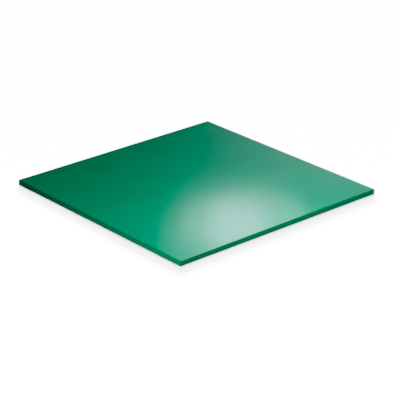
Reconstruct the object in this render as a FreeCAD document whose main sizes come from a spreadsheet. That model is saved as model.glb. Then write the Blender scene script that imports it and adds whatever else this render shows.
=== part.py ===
# A square sheet of solid plastic, cut to size from a larger panel and lying flat.
#
# It is one piece: a slab with two large faces, four sawn edges, and a narrow scraped chamfer
# where any two of those faces meet. It has no holes, layers, film or fittings.
#
# Units are millimetres. +Z is up, through the thickness. The origin is the centre of the
# underside, so the sheet lies on the plane Z = 0. X and Y run along its sides.

import FreeCAD, Part

import os

import Sketcher

OUT_FOLDER = "parts"

# Driving dimensions: alias, value in millimetres, meaning.
SIZES = [
    ("side_x", 304.8, "side of the sheet along X, 12 in"),
    ("side_y", 304.8, "side of the sheet along Y, 12 in"),
    ("thickness", 6.35, "thickness of the sheet, 1/4 in"),
    ("face_chamfer", 0.4, "leg of the chamfer round the top and bottom faces"),
    ("corner_chamfer", 0.5, "leg of the chamfer down each upright corner"),
]

LENGTH_TOLERANCE = 1e-6
VOLUME_TOLERANCE = 1e-6  # as a share of the volume


def make_size_sheet(doc):
    """The spreadsheet that holds the driving dimensions, one row each."""
    sheet = doc.addObject("Spreadsheet::Sheet", "sizes")
    for row, (alias, value, meaning) in enumerate(SIZES, start=1):
        sheet.set(f"A{row}", meaning)
        sheet.set(f"B{row}", str(value))
        sheet.setAlias(f"B{row}", alias)
    doc.recompute()
    return sheet


def origin_plane(body, role):
    """One of the body's own origin planes, such as XY_Plane."""
    return next(o for o in body.Origin.OriginFeatures if o.Role == role)


def draw_outline(body):
    """The sheet's outline: a rectangle of side_x by side_y, centred on the origin."""
    sketch = body.newObject("Sketcher::SketchObject", "outline")
    sketch.AttachmentSupport = [(origin_plane(body, "XY_Plane"), "")]
    sketch.MapMode = "FlatFace"

    half = 100.0  # a starting size only: the constraints below set the real one
    corners = [
        FreeCAD.Vector(-half, -half),
        FreeCAD.Vector(half, -half),
        FreeCAD.Vector(half, half),
        FreeCAD.Vector(-half, half),
    ]
    count = len(corners)
    for i in range(count):
        sketch.addGeometry(Part.LineSegment(corners[i], corners[(i + 1) % count]), False)

    start, end = 1, 2
    front, right, back, left = range(count)
    for i in range(count):
        sketch.addConstraint(Sketcher.Constraint("Coincident", i, end, (i + 1) % count, start))
    for line in (front, back):
        sketch.addConstraint(Sketcher.Constraint("Horizontal", line))
    for line in (right, left):
        sketch.addConstraint(Sketcher.Constraint("Vertical", line))
    origin_line, origin_point = -1, 1
    opposite_corners = (front, start, back, start)
    sketch.addConstraint(
        Sketcher.Constraint("Symmetric", *opposite_corners, origin_line, origin_point)
    )
    for name, kind, line in (("side_x", "DistanceX", front), ("side_y", "DistanceY", right)):
        added = sketch.addConstraint(Sketcher.Constraint(kind, line, start, line, end, 2 * half))
        sketch.renameConstraint(added, name)
        sketch.setExpression(f"Constraints.{name}", f"sizes.{name}")
    return sketch


def edges_where(feature, wanted):
    """The names of a feature's edges whose two end points satisfy wanted."""
    return [
        f"Edge{number}"
        for number, edge in enumerate(feature.Shape.Edges, start=1)
        if wanted(*(vertex.Point for vertex in edge.Vertexes))
    ]


def is_upright(start, end):
    """Whether the edge runs along Z, as a corner of the sheet does."""
    return abs(start.x - end.x) < LENGTH_TOLERANCE and abs(start.y - end.y) < LENGTH_TOLERANCE


def is_level(start, end):
    """Whether the edge lies in a plane of constant Z, as the rims of the two faces do."""
    return abs(start.z - end.z) < LENGTH_TOLERANCE


def add_chamfer(doc, body, base, name, wanted, size):
    """A chamfer on the edges of base that wanted picks, with its leg bound to a size."""
    chamfer = body.newObject("PartDesign::Chamfer", name)
    chamfer.Base = (base, edges_where(base, wanted))
    chamfer.setExpression("Size", f"sizes.{size}")
    doc.recompute()
    return chamfer


def make_plastic_sheet(doc):
    """The slab: the outline padded upwards, then its corners and its rims chamfered."""
    body = doc.addObject("PartDesign::Body", "plastic_sheet")
    body.Label = "plastic_sheet"

    slab = body.newObject("PartDesign::Pad", "slab")
    slab.Profile = draw_outline(body)
    slab.setExpression("Length", "sizes.thickness")
    doc.recompute()

    corners = add_chamfer(doc, body, slab, "corners", is_upright, "corner_chamfer")
    add_chamfer(doc, body, corners, "rims", is_level, "face_chamfer")
    return body


def expected_volume(sheet):
    """The slab less its chamfers, as a prismatoid: the full outline between two tapered rims."""
    bevel = sheet.face_chamfer
    corner = sheet.corner_chamfer

    def outline_area(inset):
        """Area of the outline with its corners cut off, moved in by inset all round."""
        cut_leg = corner - (2 - 2**0.5) * inset
        return (sheet.side_x - 2 * inset) * (sheet.side_y - 2 * inset) - 2 * cut_leg**2

    rim = bevel / 6 * (outline_area(0) + 4 * outline_area(bevel / 2) + outline_area(bevel))
    return outline_area(0) * (sheet.thickness - 2 * bevel) + 2 * rim


def check(doc, sheet, body):
    """Stops the build if a feature failed, or the solid isn't the one that the sizes describe."""
    for item in doc.Objects:
        if "Invalid" in item.State or "Error" in item.State:
            raise RuntimeError(f"{item.Name} failed: {item.State}")
    shape = body.Shape
    if shape.isNull() or not shape.isValid() or len(shape.Solids) != 1:
        raise RuntimeError(f"{body.Label} isn't one valid solid")
    expected = expected_volume(sheet)
    if abs(shape.Volume - expected) > VOLUME_TOLERANCE * expected:
        raise RuntimeError(f"{body.Label} has volume {shape.Volume}, and {expected} was expected")


def main():
    doc = FreeCAD.newDocument("plastic_sheet")
    sheet = make_size_sheet(doc)
    body = make_plastic_sheet(doc)
    check(doc, sheet, body)

    os.makedirs(OUT_FOLDER, exist_ok=True)
    body.Shape.exportStep(os.path.join(OUT_FOLDER, f"{body.Label}.step"))
    box = body.Shape.BoundBox
    print(f"{body.Label}: {box.XLength:.2f} x {box.YLength:.2f} x {box.ZLength:.2f} mm")
    print(f"volume {body.Shape.Volume / 1000:.2f} cm3, faces {len(body.Shape.Faces)}")


main()
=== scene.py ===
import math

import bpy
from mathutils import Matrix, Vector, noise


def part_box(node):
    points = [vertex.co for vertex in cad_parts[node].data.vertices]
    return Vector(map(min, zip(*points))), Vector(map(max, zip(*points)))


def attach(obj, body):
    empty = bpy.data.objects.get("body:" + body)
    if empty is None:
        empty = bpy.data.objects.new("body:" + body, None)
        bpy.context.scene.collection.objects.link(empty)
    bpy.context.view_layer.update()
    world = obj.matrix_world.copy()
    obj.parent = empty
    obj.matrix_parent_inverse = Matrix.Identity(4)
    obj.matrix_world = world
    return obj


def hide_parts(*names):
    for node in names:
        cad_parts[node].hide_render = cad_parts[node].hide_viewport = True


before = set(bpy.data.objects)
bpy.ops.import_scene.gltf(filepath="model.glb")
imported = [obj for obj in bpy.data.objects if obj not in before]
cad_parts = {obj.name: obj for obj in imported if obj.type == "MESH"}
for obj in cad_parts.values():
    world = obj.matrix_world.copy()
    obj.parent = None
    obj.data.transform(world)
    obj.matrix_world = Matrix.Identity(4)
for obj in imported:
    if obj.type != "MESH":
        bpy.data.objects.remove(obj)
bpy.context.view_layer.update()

# The looks of a green plastic sheet that lies flat in a white studio.
#
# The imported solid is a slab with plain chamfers. The piece made here stands for it: the same
# slab with scraped rims of uneven width, softened arrises and corners, faces that are a little
# wavy, and a material for each kind of surface. All lengths are metres, in the row frame.

MM = 0.001

# Sheet
NODE = "plastic_sheet"
BODY = "root"
LOW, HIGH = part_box(NODE)
TOP = HIGH.z
RIM_CHAMFER = 0.4 * MM  # leg of the scraped chamfer round each face
RIM_UNEVENNESS = 0.25  # how far its width strays, as a share
RIM_WAVE_LENGTH = 25 * MM
CORNER_RADIUS = 0.85 * MM  # rounds an upright corner about as far as its chamfer cuts it
ARRIS_RADIUS = 0.12 * MM
ARRIS_STEPS = 3
CORNER_STEPS = 6
EDGE_ROWS = 5  # rows of quads across the thickness of a sawn edge
CELLS = 100  # quads along each side of a face
FACE_WAVE = 0.03 * MM  # depth of the waviness in the faces
FACE_WAVE_LENGTH = 60 * MM
FACE_WAVE_FADE = 10 * MM  # distance in from a face's border over which the waviness sets in
EDGE_WAVE = 0.03 * MM  # depth of the saw's wander in the edges
EDGE_WAVE_LENGTH = 18 * MM
RIM_SEED = 3.7  # each seed gives its waves a pattern of their own
EDGE_SEED = 8.2
TOP_SEED = 1.3
UNDERSIDE_SEED = 5.9

# Camera: where it stands and what it looks at, from a point in the sheet's top face
CAMERA_PLACE = Vector((1.4531, -1.2444, 0.8122))
CAMERA_AIM = Vector((0.0394, -0.0265, 0.0))
CAMERA_ROLL = math.radians(-0.178)
LENS = 155.0
SENSOR = 36.0

# Print: the light that comes out black, how much more comes out white, and what lies between
BLACK_POINT = 0.0224
WHITE_POINT = 2.0
COMBINED_CURVE = 3  # the curve for all channels, after those for red, green and blue
SHOULDER = [(0.5, 0.5), (0.72, 0.615), (1.0, 0.728), (1.5, 0.883)]  # light, and how it prints

# Lights for the sheet alone: azimuth and elevation in degrees from the middle of the sheet,
# azimuth 0 along +X, then distance, width, height and radiance. A fill has no reflection.
# A fitting program found where the softbox and the key stand, the softbox's sizes, and every
# radiance but the last two. They were then rounded. The rest was chosen.
PANELS = [
    ("softbox_core", 132.1, 32.4, 0.35, 0.122, 0.072, 1.71),
    ("softbox_side", 121.7, 32.4, 0.35, 0.155, 0.101, 2.19),
    ("softbox_halo", 133.9, 33.9, 0.42, 0.172, 0.115, 1.13),
    ("softbox_far", 125.8, 5.0, 2.30, 1.08, 1.00, 8.95),
    ("key", -3.9, 46.1, 0.30, 0.20, 0.20, 10.6),
    ("fill_back_right", 60.0, 40.0, 0.90, 0.35, 0.35, 11.4),
    ("fill_back", 105.0, 40.0, 0.90, 0.35, 0.35, 1.07),
    ("fill_front", -60.0, 15.0, 0.45, 0.15, 0.15, 16.5),
    ("fill_front_left", -75.0, 15.0, 0.45, 0.15, 0.15, 4.1),
    ("fill_right", 20.0, 20.0, 0.90, 0.30, 0.30, 3.1),
    ("fill_edge_end", 50.0, 3.0, 0.60, 0.30, 0.05, 14.0),
    ("fill_left", 180.0, 2.0, 0.90, 0.50, 0.05, 50.0),
]
SOFTBOX_COLOUR = (0.905, 0.905, 1.0)  # slightly cool

# Lights for the floor alone: azimuth, elevation, angle across, and how bright it makes the floor
WASHES = [
    ("wash_above", 139.0, 89.0, 60.0, 1.34),
    ("wash_behind", 139.0, 30.0, 30.0, 0.24),
    ("wash_low", 139.0, 13.0, 14.0, 0.50),
]

# Studio
FLOOR_RADIUS = 5.0
SWEEP_RADIUS = 1.0
SWEEP_STEPS = 8
FLOOR_STEPS = 96
FLOOR_SEEN = 0.9  # reflectance of the floor as the camera sees it
FLOOR_BOUNCE = 0.05  # reflectance of the floor as the sheet sees it
GLOW_REACH = (0.8, 4.0)  # distances from the middle between which the floor's own light grows
GLOW_LEVEL = (0.0, 2.2)  # that light, at those distances


def link(obj):
    bpy.context.scene.collection.objects.link(obj)
    return obj


def build_mesh(name, vertices, faces, materials, indices):
    """An object with a smooth-shaded mesh, whose faces take the materials that indices say."""
    mesh = bpy.data.meshes.new(name)
    mesh.from_pydata(vertices, [], faces)
    for material in materials:
        mesh.materials.append(material)
    mesh.polygons.foreach_set("material_index", indices)
    mesh.polygons.foreach_set("use_smooth", [True] * len(faces))
    mesh.update()
    return link(bpy.data.objects.new(name, mesh))


# ---------------------------------------------------------------- the sheet's shape


def rounded(before, corner, after, radius, steps):
    """The points of an arc of this radius that rounds off the corner between two lines."""
    back = (before - corner).normalized()
    ahead = (after - corner).normalized()
    half = back.angle(ahead) / 2
    centre = corner + (back + ahead).normalized() * radius / math.sin(half)
    first = (corner + back * radius / math.tan(half) - centre).normalized()
    last = (corner + ahead * radius / math.tan(half) - centre).normalized()
    return [centre + first.slerp(last, i / steps) * radius for i in range(steps + 1)]


def edge_profile(chamfer):
    """The sheet's section at an edge, from its top face to its underside, as points that hold the
    distance in from the outline, then the height."""
    top_start = Vector((CORNER_RADIUS, TOP))
    top_rim = Vector((chamfer, TOP))
    top_edge = Vector((0, TOP - chamfer))
    low_edge = Vector((0, chamfer))
    low_rim = Vector((chamfer, 0))
    low_start = Vector((CORNER_RADIUS, 0))
    upper = rounded(top_start, top_rim, top_edge, ARRIS_RADIUS, ARRIS_STEPS)
    upper += rounded(top_rim, top_edge, low_edge, ARRIS_RADIUS, ARRIS_STEPS)
    lower = rounded(top_edge, low_edge, low_rim, ARRIS_RADIUS, ARRIS_STEPS)
    lower += rounded(low_edge, low_rim, low_start, ARRIS_RADIUS, ARRIS_STEPS)
    between = [upper[-1].lerp(lower[0], i / EDGE_ROWS) for i in range(1, EDGE_ROWS)]
    return upper + between + lower


def outline(half_x, half_y):
    """Points round the sheet, each with its anchor on the inner rectangle that the corners are
    rounded about, and the outward direction there."""
    points = []
    corners = [(1, -1), (1, 1), (-1, 1), (-1, -1)]
    for side, (sign_x, sign_y) in enumerate(corners):
        start = Vector((sign_x * half_x, sign_y * half_y))
        following = corners[(side + 1) % len(corners)]
        end = Vector((following[0] * half_x, following[1] * half_y))
        facing = math.radians(90 * side)
        outward = Vector((math.cos(facing), math.sin(facing)))
        for i in range(CELLS + 1):
            points.append((start.lerp(end, i / CELLS), outward))
        for i in range(1, CORNER_STEPS):
            turned = facing + math.radians(90) * i / CORNER_STEPS
            points.append((end, Vector((math.cos(turned), math.sin(turned)))))
    return points


def wave(x, y, length, seed):
    """Smooth noise from about -1 to 1, whose bumps are about this length apart."""
    return noise.noise(Vector((x / length, y / length, seed)))


def face_height(x, y, half_x, half_y, seed):
    """How far a face sinks at this place: nothing at its rim, and FACE_WAVE at most inside."""
    margin = min(half_x - abs(x), half_y - abs(y)) / FACE_WAVE_FADE
    fade = min(1.0, max(0.0, margin))
    return -FACE_WAVE * fade * (0.5 + 0.5 * wave(x, y, FACE_WAVE_LENGTH, seed))


def make_sheet(materials):
    """The sheet as one closed mesh: a grid for each face, joined by the edge's profile."""
    face, rim, sawn = range(3)
    half_x = HIGH.x - CORNER_RADIUS
    half_y = HIGH.y - CORNER_RADIUS
    ring = outline(half_x, half_y)
    count = len(ring)
    vertices, faces, kinds = [], [], []

    def add_face(corners, kind):
        faces.append(corners)
        kinds.append(kind)

    # the edge: a column of profile points under each point of the outline
    rows = len(edge_profile(RIM_CHAMFER))
    for anchor, outward in ring:
        uneven = RIM_UNEVENNESS * wave(anchor.x, anchor.y, RIM_WAVE_LENGTH, RIM_SEED)
        wander = EDGE_WAVE * (0.5 + 0.5 * wave(anchor.x, anchor.y, EDGE_WAVE_LENGTH, EDGE_SEED))
        for inset, height in edge_profile(RIM_CHAMFER * (1 + uneven)):
            place = anchor + outward * (CORNER_RADIUS - inset - wander)
            vertices.append((place.x, place.y, height))
    chamfer_rows = 2 * ARRIS_STEPS + 1
    for k in range(count):
        left, right = k * rows, (k + 1) % count * rows
        for row in range(rows - 1):
            # the chamfer rows take the rim material, whose darker colour paints a dark line along
            # each arris
            scraped = row < chamfer_rows or row >= rows - 1 - chamfer_rows
            quad = (left + row, left + row + 1, right + row + 1, right + row)
            add_face(quad, rim if scraped else sawn)

    # the faces: a grid on the inner rectangle, and a strip from its border to the profile
    def add_cap(level, row, up, seed):
        base = len(vertices)
        for j in range(CELLS + 1):
            y = -half_y + 2 * half_y * j / CELLS
            for i in range(CELLS + 1):
                x = -half_x + 2 * half_x * i / CELLS
                sink = face_height(x, y, half_x, half_y, seed)
                vertices.append((x, y, level + (sink if up else -sink)))

        def at(i, j):
            return base + j * (CELLS + 1) + i

        def add_turned(corners):
            add_face(corners if up else corners[::-1], face)

        for j in range(CELLS):
            for i in range(CELLS):
                add_turned((at(i, j), at(i + 1, j), at(i + 1, j + 1), at(i, j + 1)))
        border = [at(CELLS, j) for j in range(CELLS + 1)]
        border += [at(CELLS, CELLS)] * (CORNER_STEPS - 1)
        border += [at(i, CELLS) for i in range(CELLS, -1, -1)]
        border += [at(0, CELLS)] * (CORNER_STEPS - 1)
        border += [at(0, j) for j in range(CELLS, -1, -1)]
        border += [at(0, 0)] * (CORNER_STEPS - 1)
        border += [at(i, 0) for i in range(CELLS + 1)]
        border += [at(CELLS, 0)] * (CORNER_STEPS - 1)
        for k in range(count):
            following = (k + 1) % count
            inner, inner_next = border[k], border[following]
            outer, outer_next = k * rows + row, following * rows + row
            if inner == inner_next:
                add_turned((inner, outer, outer_next))
            else:
                add_turned((inner, outer, outer_next, inner_next))

    add_cap(TOP, 0, True, TOP_SEED)
    add_cap(0.0, rows - 1, False, UNDERSIDE_SEED)
    return build_mesh("green_sheet", vertices, faces, materials, kinds)


# ---------------------------------------------------------------- materials

PLASTIC_IOR = 1.42
GREEN = (0.0, 0.205, 0.1055)
DEEP_GREEN = (0.0, 0.195, 0.0985)
SAWN_GREEN = (0.02, 0.172, 0.092)
DEEP_SAWN_GREEN = (0.014, 0.150, 0.080)
# The rims' greens are darker than the faces': a painted dark line along every arris
RIM_PAINTED_DARK_GREEN = (0.0, 0.125, 0.066)
RIM_PAINTED_DARKER_GREEN = (0.0, 0.085, 0.045)

# Where most values of a noise lie, and the narrower range that gives clouds with clear borders
NOISE_RANGE = (0.3, 0.7)
CLOUD_RANGE = (0.35, 0.65)

# Sizes and depths of the patterns, and the roughness from their lows to their highs
CLOUD_SIZE = 45 * MM
SHEEN_SIZE = 30 * MM
PEEL_SIZE = 2.4 * MM
GRAIN_SIZE = 0.7 * MM
GRAIN_DEPTH = 0.004 * MM
FACE_ROUGHNESS = (0.174, 0.190)
CHATTER_SIZE = 1.5 * MM
CHATTER_DEPTH = 0.02 * MM
RIM_ROUGHNESS = (0.35, 0.50)
SAW_MARK_SIZE = 1.1 * MM
SAW_MARK_STRETCH = (1, 1, 0.06)  # draws the marks out across the thickness
SAW_MARK_DEPTH = 0.03 * MM
SAWN_ROUGHNESS = (0.32, 0.48)

# Sockets of a Mix node that mixes colours, by number, because their names are not unique
MIX_SHARE = 0
MIX_FIRST = 6
MIX_SECOND = 7
MIX_RESULT = 2


class Nodes:
    """A material's node tree, with short ways to add nodes to it."""

    def __init__(self, name):
        self.material = bpy.data.materials.new(name)
        self.material.use_nodes = True
        self.tree = self.material.node_tree
        self.shader = self.tree.nodes["Principled BSDF"]
        self.place = self.tree.nodes.new("ShaderNodeTexCoord").outputs["Object"]

    def add(self, kind, inputs, **settings):
        """A node with these settings, and each input set to a value or linked to a socket."""
        node = self.tree.nodes.new(kind)
        for name, value in settings.items():
            setattr(node, name, value)
        for key, value in inputs.items():
            if isinstance(value, bpy.types.NodeSocket):
                self.tree.links.new(value, node.inputs[key])
            else:
                node.inputs[key].default_value = value
        return node

    def stretched(self, scale):
        """Coordinates scaled on each axis, so that a pattern can run in one direction."""
        inputs = {"Vector": self.place, "Scale": scale}
        return self.add("ShaderNodeMapping", inputs).outputs["Vector"]

    def noise(self, size, detail, vector=None):
        """Noise from 0 to 1 with features of about this size."""
        inputs = {"Vector": vector or self.place, "Scale": 1 / size, "Detail": detail}
        return self.add("ShaderNodeTexNoise", inputs).outputs["Fac"]

    def ranged(self, value, low, high, new_low, new_high):
        """value moved from one range to another, and held within it."""
        inputs = {
            "Value": value,
            "From Min": low,
            "From Max": high,
            "To Min": new_low,
            "To Max": new_high,
        }
        return self.add("ShaderNodeMapRange", inputs).outputs["Result"]

    def blend(self, share, first, second):
        """A colour between two colours."""
        inputs = {MIX_SHARE: share, MIX_FIRST: (*first, 1), MIX_SECOND: (*second, 1)}
        return self.add("ShaderNodeMix", inputs, data_type="RGBA").outputs[MIX_RESULT]

    def bump(self, height, depth, normal=None):
        """The surface normal over a height from 0 to 1 that is this deep, on top of another."""
        inputs = {"Height": height, "Distance": depth, "Strength": 1.0}
        if normal:
            inputs["Normal"] = normal
        return self.add("ShaderNodeBump", inputs).outputs["Normal"]

    def finish(self, colour, roughness, normal):
        """The material as the plastic, with these three linked to its shader."""
        linked = {"Base Color": colour, "Roughness": roughness, "Normal": normal}
        for name, socket in linked.items():
            self.tree.links.new(socket, self.shader.inputs[name])
        self.shader.inputs["IOR"].default_value = PLASTIC_IOR
        return self.material


def face_material():
    """The pressed faces: satin, with a fine grain, a slight peel and the lightest clouding."""
    nodes = Nodes("pressed_face")
    clouding = nodes.ranged(nodes.noise(CLOUD_SIZE, 3.0), *CLOUD_RANGE, 0, 1)
    colour = nodes.blend(clouding, DEEP_GREEN, GREEN)
    roughness = nodes.ranged(nodes.noise(SHEEN_SIZE, 4.0), *NOISE_RANGE, *FACE_ROUGHNESS)
    peel = nodes.bump(nodes.noise(PEEL_SIZE, 2.0), GRAIN_DEPTH)
    grain = nodes.bump(nodes.noise(GRAIN_SIZE, 1.0), GRAIN_DEPTH, peel)
    return nodes.finish(colour, roughness, grain)


def rim_material():
    """The scraped rims: rougher than the faces, with the scraper's chatter, and a painted dark
    line along each arris.
    """
    nodes = Nodes("scraped_rim_painted_dark")
    chatter = nodes.noise(CHATTER_SIZE, 3.0)
    colour = nodes.blend(chatter, RIM_PAINTED_DARKER_GREEN, RIM_PAINTED_DARK_GREEN)
    roughness = nodes.ranged(chatter, *NOISE_RANGE, *RIM_ROUGHNESS)
    return nodes.finish(colour, roughness, nodes.bump(chatter, CHATTER_DEPTH))


def sawn_material():
    """The sawn edges: duller, with the blade's marks standing across the thickness."""
    nodes = Nodes("sawn_edge")
    marks = nodes.noise(SAW_MARK_SIZE, 4.0, nodes.stretched(SAW_MARK_STRETCH))
    shade = nodes.ranged(marks, *NOISE_RANGE, 0, 1)
    colour = nodes.blend(shade, DEEP_SAWN_GREEN, SAWN_GREEN)
    roughness = nodes.ranged(marks, *NOISE_RANGE, *SAWN_ROUGHNESS)
    return nodes.finish(colour, roughness, nodes.bump(marks, SAW_MARK_DEPTH))


# ---------------------------------------------------------------- studio


def floor_material():
    """A sweep that prints white where it is seen, and throws little light back on the sheet."""
    nodes = Nodes("white_sweep")
    tree = nodes.tree
    seen = nodes.shader
    seen.inputs["Base Color"].default_value = (FLOOR_SEEN, FLOOR_SEEN, FLOOR_SEEN, 1)
    seen.inputs["Roughness"].default_value = 1.0
    seen.inputs["Specular IOR Level"].default_value = 0.0
    seen.inputs["Emission Color"].default_value = (1, 1, 1, 1)
    away = nodes.add("ShaderNodeVectorMath", {0: nodes.place}, operation="LENGTH")
    glow = nodes.ranged(away.outputs["Value"], *GLOW_REACH, *GLOW_LEVEL)
    tree.links.new(glow, seen.inputs["Emission Strength"])
    bounced = nodes.add("ShaderNodeBsdfDiffuse", {"Color": (FLOOR_BOUNCE,) * 3 + (1,)})
    path = tree.nodes.new("ShaderNodeLightPath")
    mix = nodes.add(
        "ShaderNodeMixShader",
        {
            0: path.outputs["Is Camera Ray"],
            1: bounced.outputs["BSDF"],
            2: seen.outputs["BSDF"],
        },
    )
    tree.links.new(mix.outputs["Shader"], tree.nodes["Material Output"].inputs["Surface"])
    return nodes.material


def make_floor():
    """A round floor that curves up into a low wall all round."""
    rings = [(0.0, 0.0), (FLOOR_RADIUS, 0.0)]
    for i in range(1, SWEEP_STEPS + 1):
        turned = math.radians(90) * i / SWEEP_STEPS
        radius = FLOOR_RADIUS + SWEEP_RADIUS * math.sin(turned)
        rings.append((radius, SWEEP_RADIUS * (1 - math.cos(turned))))
    vertices = []
    for radius, height in rings[1:]:
        for i in range(FLOOR_STEPS):
            angle = 2 * math.pi * i / FLOOR_STEPS
            vertices.append((radius * math.cos(angle), radius * math.sin(angle), height))
    faces = [tuple(range(FLOOR_STEPS))]
    for row in range(len(rings) - 2):
        for i in range(FLOOR_STEPS):
            j = (i + 1) % FLOOR_STEPS
            inner, outer = row * FLOOR_STEPS, (row + 1) * FLOOR_STEPS
            faces.append((inner + i, outer + i, outer + j, inner + j))
    floor = build_mesh("floor", vertices, faces, [floor_material()], [0] * len(faces))
    floor.location.z = LOW.z
    return floor


def aim(obj, place, target, roll=0.0):
    """Puts obj at place with its -Z axis towards target, turned about that axis by roll."""
    turn = (target - place).to_track_quat("-Z", "Y").to_matrix().to_4x4()
    obj.matrix_world = Matrix.Translation(place) @ turn @ Matrix.Rotation(roll, 4, "Z")


def toward(azimuth, elevation):
    """The direction at this azimuth and elevation, in degrees."""
    turn, rise = math.radians(azimuth), math.radians(elevation)
    level = math.cos(rise)
    return Vector((level * math.cos(turn), level * math.sin(turn), math.sin(rise)))


def shine_only_on(light, obj):
    """Makes the light fall on obj and on nothing else."""
    name = "lit_by_" + light.name
    receivers = bpy.data.collections.new(name)
    receivers.objects.link(obj)
    light.light_linking.receiver_collection = receivers


def make_panel(name, azimuth, elevation, distance, width, height, radiance):
    """An oval panel that faces the middle of the sheet's top face."""
    data = bpy.data.lights.new(name, "AREA")
    data.shape = "ELLIPSE"
    data.size = width
    data.size_y = height
    data.energy = radiance * math.pi * math.pi / 4 * width * height
    light = link(bpy.data.objects.new(name, data))
    light.visible_camera = False
    light.visible_glossy = not name.startswith("fill")
    if name.startswith("softbox"):
        data.color = SOFTBOX_COLOUR
    middle = Vector((0, 0, TOP))
    aim(light, middle + toward(azimuth, elevation) * distance, middle)
    return light


def make_wash(name, azimuth, elevation, across, level):
    """A far-off light of this angle across, which makes the floor this bright."""
    data = bpy.data.lights.new(name, "SUN")
    data.angle = math.radians(across)
    data.energy = level * math.pi / FLOOR_SEEN / math.sin(math.radians(elevation))
    light = link(bpy.data.objects.new(name, data))
    aim(light, toward(azimuth, elevation), Vector((0, 0, 0)))
    return light


def make_camera():
    data = bpy.data.cameras.new("camera")
    data.lens = LENS
    data.sensor_width = SENSOR
    camera = link(bpy.data.objects.new("camera", data))
    middle = Vector((0, 0, TOP))
    aim(camera, middle + CAMERA_PLACE, middle + CAMERA_AIM, CAMERA_ROLL)
    bpy.context.scene.camera = camera


def make_world():
    """No light but the lamps'."""
    world = bpy.data.worlds.new("studio")
    world.use_nodes = True
    world.node_tree.nodes["Background"].inputs["Strength"].default_value = 0.0
    bpy.context.scene.world = world


def set_print():
    """sRGB output with a raised black point and a soft shoulder, as in a catalogue print."""
    view = bpy.context.scene.view_settings
    view.view_transform = "Standard"
    view.use_curve_mapping = True
    mapping = view.curve_mapping
    mapping.black_level = [BLACK_POINT] * 3
    mapping.white_level = [BLACK_POINT + WHITE_POINT] * 3
    tone = mapping.curves[COMBINED_CURVE]
    for light, shown in SHOULDER:
        tone.points.new(light / WHITE_POINT, shown)
    mapping.update()


def main():
    sheet = make_sheet([face_material(), rim_material(), sawn_material()])
    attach(sheet, BODY)
    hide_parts(NODE)
    floor = make_floor()
    make_camera()
    make_world()
    set_print()
    for panel in PANELS:
        shine_only_on(make_panel(*panel), sheet)
    for wash in WASHES:
        shine_only_on(make_wash(*wash), floor)


main()
